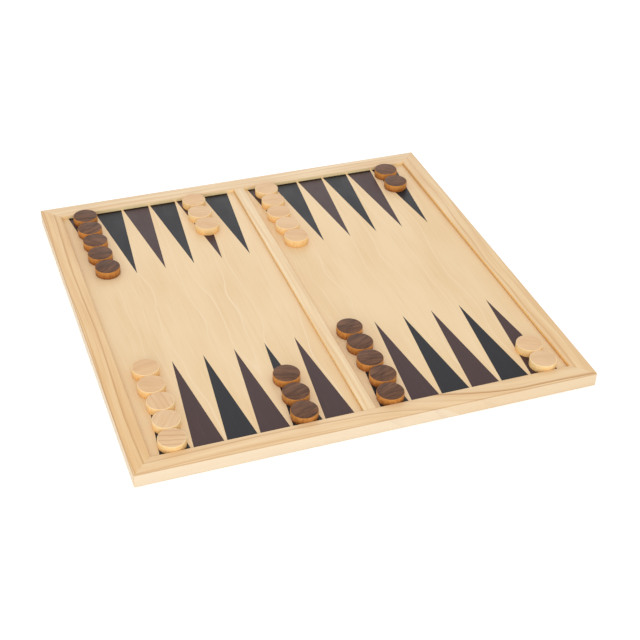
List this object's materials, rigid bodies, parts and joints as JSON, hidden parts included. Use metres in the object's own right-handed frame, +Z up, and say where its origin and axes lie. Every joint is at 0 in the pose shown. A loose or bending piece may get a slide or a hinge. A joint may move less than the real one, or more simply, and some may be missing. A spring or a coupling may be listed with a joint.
{
  "type": "backgammon board",
  "caption": "Flat wooden backgammon board with a mitred frame, a recessed playing panel, a centre bar and round wooden checkers set out for the start of a game.",
  "frame": {"origin": "bottom centre of the bounding box, on the face the board rests on, midway between its sides", "axes": "+Z up out of the playing field, +X to the right along the front rail, -Y towards the player at the front"},
  "size_m": [0.4, 0.404, 0.0163],
  "materials": {
    "frame_pine": "satin lacquered pale pine with straight grain",
    "bar_pine": "satin lacquered pale pine with straight grain",
    "panel_veneer": "satin pale veneer, printed with black and dark brown points",
    "checker_dark": "satin walnut-brown wood, lighter on the edge",
    "checker_light": "plain pale wood with visible growth rings"
  },
  "bodies": {
    "board": {"front_rail": "frame_pine", "right_rail": "frame_pine", "back_rail": "frame_pine", "left_rail": "frame_pine", "playing_panel": "panel_veneer", "centre_bar": "bar_pine"},
    "dark_checker_01": {"dark_checker_01": "checker_dark"},
    "dark_checker_02": {"dark_checker_02": "checker_dark"},
    "dark_checker_03": {"dark_checker_03": "checker_dark"},
    "dark_checker_04": {"dark_checker_04": "checker_dark"},
    "dark_checker_05": {"dark_checker_05": "checker_dark"},
    "dark_checker_06": {"dark_checker_06": "checker_dark"},
    "dark_checker_07": {"dark_checker_07": "checker_dark"},
    "dark_checker_08": {"dark_checker_08": "checker_dark"},
    "dark_checker_09": {"dark_checker_09": "checker_dark"},
    "dark_checker_10": {"dark_checker_10": "checker_dark"},
    "dark_checker_11": {"dark_checker_11": "checker_dark"},
    "dark_checker_12": {"dark_checker_12": "checker_dark"},
    "dark_checker_13": {"dark_checker_13": "checker_dark"},
    "dark_checker_14": {"dark_checker_14": "checker_dark"},
    "dark_checker_15": {"dark_checker_15": "checker_dark"},
    "light_checker_01": {"light_checker_01": "checker_light"},
    "light_checker_02": {"light_checker_02": "checker_light"},
    "light_checker_03": {"light_checker_03": "checker_light"},
    "light_checker_04": {"light_checker_04": "checker_light"},
    "light_checker_05": {"light_checker_05": "checker_light"},
    "light_checker_06": {"light_checker_06": "checker_light"},
    "light_checker_07": {"light_checker_07": "checker_light"},
    "light_checker_08": {"light_checker_08": "checker_light"},
    "light_checker_09": {"light_checker_09": "checker_light"},
    "light_checker_10": {"light_checker_10": "checker_light"},
    "light_checker_11": {"light_checker_11": "checker_light"},
    "light_checker_12": {"light_checker_12": "checker_light"},
    "light_checker_13": {"light_checker_13": "checker_light"},
    "light_checker_14": {"light_checker_14": "checker_light"},
    "light_checker_15": {"light_checker_15": "checker_light"}
  },
  "joints": [
    {"name": "lift_dark_checker_01", "type": "slide", "parent": "board", "child": "dark_checker_01", "axis": [0, 0, 1], "range_m": [0, 0.03]},
    {"name": "lift_dark_checker_02", "type": "slide", "parent": "board", "child": "dark_checker_02", "axis": [0, 0, 1], "range_m": [0, 0.03]},
    {"name": "lift_dark_checker_03", "type": "slide", "parent": "board", "child": "dark_checker_03", "axis": [0, 0, 1], "range_m": [0, 0.03]},
    {"name": "lift_dark_checker_04", "type": "slide", "parent": "board", "child": "dark_checker_04", "axis": [0, 0, 1], "range_m": [0, 0.03]},
    {"name": "lift_dark_checker_05", "type": "slide", "parent": "board", "child": "dark_checker_05", "axis": [0, 0, 1], "range_m": [0, 0.03]},
    {"name": "lift_dark_checker_06", "type": "slide", "parent": "board", "child": "dark_checker_06", "axis": [0, 0, 1], "range_m": [0, 0.03]},
    {"name": "lift_dark_checker_07", "type": "slide", "parent": "board", "child": "dark_checker_07", "axis": [0, 0, 1], "range_m": [0, 0.03]},
    {"name": "lift_dark_checker_08", "type": "slide", "parent": "board", "child": "dark_checker_08", "axis": [0, 0, 1], "range_m": [0, 0.03]},
    {"name": "lift_dark_checker_09", "type": "slide", "parent": "board", "child": "dark_checker_09", "axis": [0, 0, 1], "range_m": [0, 0.03]},
    {"name": "lift_dark_checker_10", "type": "slide", "parent": "board", "child": "dark_checker_10", "axis": [0, 0, 1], "range_m": [0, 0.03]},
    {"name": "lift_dark_checker_11", "type": "slide", "parent": "board", "child": "dark_checker_11", "axis": [0, 0, 1], "range_m": [0, 0.03]},
    {"name": "lift_dark_checker_12", "type": "slide", "parent": "board", "child": "dark_checker_12", "axis": [0, 0, 1], "range_m": [0, 0.03]},
    {"name": "lift_dark_checker_13", "type": "slide", "parent": "board", "child": "dark_checker_13", "axis": [0, 0, 1], "range_m": [0, 0.03]},
    {"name": "lift_dark_checker_14", "type": "slide", "parent": "board", "child": "dark_checker_14", "axis": [0, 0, 1], "range_m": [0, 0.03]},
    {"name": "lift_dark_checker_15", "type": "slide", "parent": "board", "child": "dark_checker_15", "axis": [0, 0, 1], "range_m": [0, 0.03]},
    {"name": "lift_light_checker_01", "type": "slide", "parent": "board", "child": "light_checker_01", "axis": [0, 0, 1], "range_m": [0, 0.03]},
    {"name": "lift_light_checker_02", "type": "slide", "parent": "board", "child": "light_checker_02", "axis": [0, 0, 1], "range_m": [0, 0.03]},
    {"name": "lift_light_checker_03", "type": "slide", "parent": "board", "child": "light_checker_03", "axis": [0, 0, 1], "range_m": [0, 0.03]},
    {"name": "lift_light_checker_04", "type": "slide", "parent": "board", "child": "light_checker_04", "axis": [0, 0, 1], "range_m": [0, 0.03]},
    {"name": "lift_light_checker_05", "type": "slide", "parent": "board", "child": "light_checker_05", "axis": [0, 0, 1], "range_m": [0, 0.03]},
    {"name": "lift_light_checker_06", "type": "slide", "parent": "board", "child": "light_checker_06", "axis": [0, 0, 1], "range_m": [0, 0.03]},
    {"name": "lift_light_checker_07", "type": "slide", "parent": "board", "child": "light_checker_07", "axis": [0, 0, 1], "range_m": [0, 0.03]},
    {"name": "lift_light_checker_08", "type": "slide", "parent": "board", "child": "light_checker_08", "axis": [0, 0, 1], "range_m": [0, 0.03]},
    {"name": "lift_light_checker_09", "type": "slide", "parent": "board", "child": "light_checker_09", "axis": [0, 0, 1], "range_m": [0, 0.03]},
    {"name": "lift_light_checker_10", "type": "slide", "parent": "board", "child": "light_checker_10", "axis": [0, 0, 1], "range_m": [0, 0.03]},
    {"name": "lift_light_checker_11", "type": "slide", "parent": "board", "child": "light_checker_11", "axis": [0, 0, 1], "range_m": [0, 0.03]},
    {"name": "lift_light_checker_12", "type": "slide", "parent": "board", "child": "light_checker_12", "axis": [0, 0, 1], "range_m": [0, 0.03]},
    {"name": "lift_light_checker_13", "type": "slide", "parent": "board", "child": "light_checker_13", "axis": [0, 0, 1], "range_m": [0, 0.03]},
    {"name": "lift_light_checker_14", "type": "slide", "parent": "board", "child": "light_checker_14", "axis": [0, 0, 1], "range_m": [0, 0.03]},
    {"name": "lift_light_checker_15", "type": "slide", "parent": "board", "child": "light_checker_15", "axis": [0, 0, 1], "range_m": [0, 0.03]}
  ]
}
